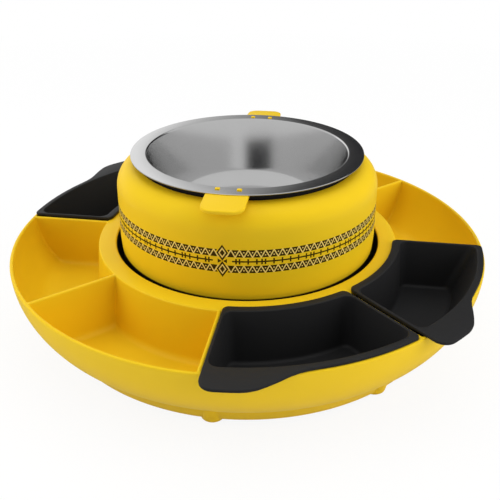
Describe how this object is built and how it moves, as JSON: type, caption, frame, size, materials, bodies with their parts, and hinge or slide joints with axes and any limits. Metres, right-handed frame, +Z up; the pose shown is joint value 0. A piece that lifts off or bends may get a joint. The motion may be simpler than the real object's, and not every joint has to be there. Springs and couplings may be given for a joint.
{
  "type": "electric taco maker",
  "caption": "Round electric serving pot with a lift-out steel bowl, set in a revolving tray of built-in and removable topping compartments on a roller base.",
  "frame": {"origin": "on the axis of rotation, at table height under the rubber feet", "axes": "+Z up along the axis of rotation; -Y towards the front, where the first bowl handle points; +X to the right as seen from the front"},
  "size_m": [0.4, 0.4314, 0.1458],
  "materials": {
    "yellow_plastic": "satin moulded yellow",
    "black_plastic": "satin black",
    "black_phenolic": "heat-resistant black",
    "polished_steel": "polished stainless steel",
    "steel_fittings": "zinc-plated steel",
    "well_sheet": "pressed aluminium sheet",
    "shield_sheet": "bright aluminium sheet",
    "aluminium_castings": "cast aluminium",
    "element_sheath": "oxidised steel sheath",
    "thermostat_body": "ceramic-filled body",
    "fuse_case": "plated case",
    "rubber_parts": "black rubber",
    "white_plastic": "natural white acetal",
    "brass_contacts": "brass",
    "brown_wire": "brown insulation",
    "blue_wire": "blue insulation",
    "green_wire": "green insulation",
    "white_wire": "woven glass sleeve"
  },
  "bodies": {
    "base": {"base_pan": "yellow_plastic", "rubber_feet": "rubber_parts", "bottom_cover": "yellow_plastic", "base_screws": "steel_fittings", "cord_gland": "rubber_parts", "terminal_block": "white_plastic", "terminal_screws": "brass_contacts", "guide_ring": "white_plastic", "roller_axles": "steel_fittings", "housing_shell": "yellow_plastic", "heat_ring": "black_phenolic", "ring_screws": "steel_fittings", "heating_well": "well_sheet", "heating_plate": "aluminium_castings", "heating_element": "element_sheath", "thermostat": "thermostat_body", "thermostat_bracket": "steel_fittings", "bracket_screws": "steel_fittings", "thermal_fuse": "fuse_case", "fuse_clip": "steel_fittings", "heat_shield": "shield_sheet", "shield_spacers": "steel_fittings", "plate_screws": "steel_fittings", "earth_tag": "brass_contacts", "shield_washers": "steel_fittings", "live_wire": "brown_wire", "neutral_wire": "blue_wire", "earth_wire": "green_wire", "fuse_lead": "white_wire", "element_lead": "white_wire"},
    "revolving_tray": {"tray": "yellow_plastic", "tray_track": "steel_fittings"},
    "bowl": {"serving_bowl": "polished_steel", "bowl_handle_front": "yellow_plastic", "bowl_handle_rear": "yellow_plastic"},
    "container_1": {"container_1": "black_plastic"},
    "container_2": {"container_2": "black_plastic"},
    "container_3": {"container_3": "black_plastic"},
    "container_4": {"container_4": "black_plastic"},
    "roller_1": {"roller_1": "white_plastic"},
    "roller_2": {"roller_2": "white_plastic"},
    "roller_3": {"roller_3": "white_plastic"},
    "roller_4": {"roller_4": "white_plastic"},
    "roller_5": {"roller_5": "white_plastic"},
    "roller_6": {"roller_6": "white_plastic"},
    "roller_7": {"roller_7": "white_plastic"},
    "roller_8": {"roller_8": "white_plastic"}
  },
  "joints": [
    {"name": "tray_spin", "type": "hinge", "parent": "base", "child": "revolving_tray", "pos_m": [0, 0, 0.02], "axis": [0, 0, 1], "continuous": true},
    {"name": "bowl_lift", "type": "slide", "parent": "base", "child": "bowl", "axis": [0, 0, 1], "range_m": [0, 0.12]},
    {"name": "container_1_lift", "type": "slide", "parent": "revolving_tray", "child": "container_1", "axis": [0, 0, 1], "range_m": [0, 0.08]},
    {"name": "container_2_lift", "type": "slide", "parent": "revolving_tray", "child": "container_2", "axis": [0, 0, 1], "range_m": [0, 0.08]},
    {"name": "container_3_lift", "type": "slide", "parent": "revolving_tray", "child": "container_3", "axis": [0, 0, 1], "range_m": [0, 0.08]},
    {"name": "container_4_lift", "type": "slide", "parent": "revolving_tray", "child": "container_4", "axis": [0, 0, 1], "range_m": [0, 0.08]},
    {"name": "roller_1_spin", "type": "hinge", "parent": "base", "child": "roller_1", "pos_m": [0.0574, -0.13858, 0.0136], "axis": [0.3827, -0.9239, 0], "continuous": true},
    {"name": "roller_2_spin", "type": "hinge", "parent": "base", "child": "roller_2", "pos_m": [0.13858, -0.0574, 0.0136], "axis": [0.9239, -0.3827, 0], "continuous": true},
    {"name": "roller_3_spin", "type": "hinge", "parent": "base", "child": "roller_3", "pos_m": [0.13858, 0.0574, 0.0136], "axis": [0.9239, 0.3827, 0], "continuous": true},
    {"name": "roller_4_spin", "type": "hinge", "parent": "base", "child": "roller_4", "pos_m": [0.0574, 0.13858, 0.0136], "axis": [0.3827, 0.9239, 0], "continuous": true},
    {"name": "roller_5_spin", "type": "hinge", "parent": "base", "child": "roller_5", "pos_m": [-0.0574, 0.13858, 0.0136], "axis": [-0.3827, 0.9239, 0], "continuous": true},
    {"name": "roller_6_spin", "type": "hinge", "parent": "base", "child": "roller_6", "pos_m": [-0.13858, 0.0574, 0.0136], "axis": [-0.9239, 0.3827, 0], "continuous": true},
    {"name": "roller_7_spin", "type": "hinge", "parent": "base", "child": "roller_7", "pos_m": [-0.13858, -0.0574, 0.0136], "axis": [-0.9239, -0.3827, 0], "continuous": true},
    {"name": "roller_8_spin", "type": "hinge", "parent": "base", "child": "roller_8", "pos_m": [-0.0574, -0.13858, 0.0136], "axis": [-0.3827, -0.9239, 0], "continuous": true}
  ],
  "couplings": [
    {"joint": "roller_1_spin", "follows": "tray_spin", "ratio": -27.273},
    {"joint": "roller_2_spin", "follows": "tray_spin", "ratio": -27.273},
    {"joint": "roller_3_spin", "follows": "tray_spin", "ratio": -27.273},
    {"joint": "roller_4_spin", "follows": "tray_spin", "ratio": -27.273},
    {"joint": "roller_5_spin", "follows": "tray_spin", "ratio": -27.273},
    {"joint": "roller_6_spin", "follows": "tray_spin", "ratio": -27.273},
    {"joint": "roller_7_spin", "follows": "tray_spin", "ratio": -27.273},
    {"joint": "roller_8_spin", "follows": "tray_spin", "ratio": -27.273}
  ]
}
